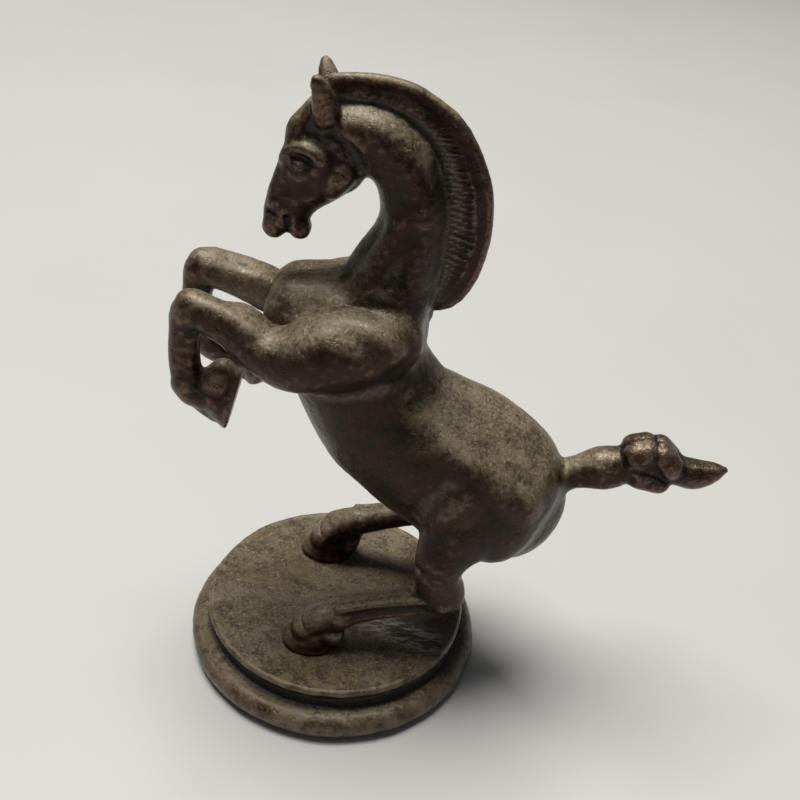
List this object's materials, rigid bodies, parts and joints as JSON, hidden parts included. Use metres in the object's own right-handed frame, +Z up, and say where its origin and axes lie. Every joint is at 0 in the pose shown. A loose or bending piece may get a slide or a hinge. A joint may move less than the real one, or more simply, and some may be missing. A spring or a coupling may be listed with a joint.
{
  "type": "horse statue",
  "caption": "Cast bronze figurine of a rearing horse with arched neck, upright crest mane and knotted tail, standing on its hind hooves on a round stepped plinth.",
  "frame": {"origin": "centre of the plinth's foot face", "axes": "+Z up out of the plinth; the horse faces -X and its left side faces -Y"},
  "size_m": [0.1238, 0.072, 0.1434],
  "materials": {
    "bronze": "dark brown patinated cast bronze with worn ridges and dust in the hollows",
    "plinth_bronze": "dusty brown patinated cast bronze, pitted, rim worn bright",
    "steel": "plain steel"
  },
  "bodies": {
    "root": {"plinth": "plinth_bronze", "horse_body": "bronze", "foreleg_left": "bronze", "foreleg_right": "bronze", "hind_leg_left": "bronze", "hind_leg_right": "bronze", "tail": "bronze", "stud_left": "steel", "stud_right": "steel", "washer_left": "steel", "washer_right": "steel", "nut_left": "steel", "nut_right": "steel"}
  },
  "joints": []
}
